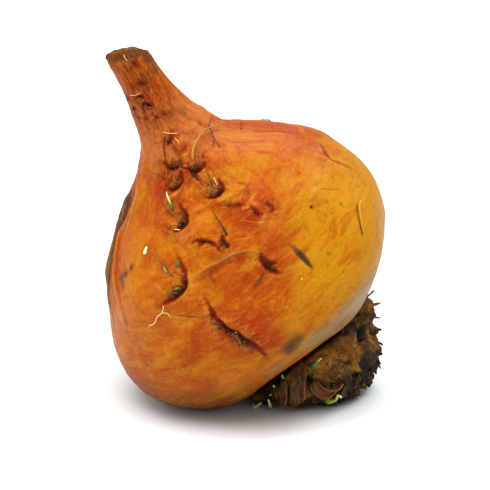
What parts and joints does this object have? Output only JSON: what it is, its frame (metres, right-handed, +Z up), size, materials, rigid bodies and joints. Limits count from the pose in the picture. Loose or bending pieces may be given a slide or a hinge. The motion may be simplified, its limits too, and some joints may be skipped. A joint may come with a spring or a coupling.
{
  "type": "golden beetroot",
  "caption": "Whole golden beetroot lying tail up: a swollen orange root with a snapped taproot, rootlet pits and creases, and a brown stump of torn leaf bases with green shoots.",
  "frame": {"origin": "on the surface the beetroot lies on, under the middle of its box", "axes": "+Z up; -Y towards the viewer of the picture, the pitted side; +X to the right, towards the stump of the leaves"},
  "size_m": [0.0789, 0.0872, 0.0982],
  "materials": {
    "beet_skin": "smooth, slightly moist skin, golden orange with redder creases",
    "dead_leaf_base": "dry, torn and fibrous",
    "withered_stalk": "dry and papery",
    "shoot_green": "soft satin"
  },
  "bodies": {
    "root": {"root": "beet_skin", "leaf_crown": "dead_leaf_base", "withered_stalk_1": "withered_stalk", "withered_stalk_2": "withered_stalk", "withered_stalk_3": "withered_stalk", "shoot_1": "shoot_green", "shoot_2": "shoot_green", "shoot_3": "shoot_green", "shoot_4": "shoot_green"}
  },
  "joints": []
}
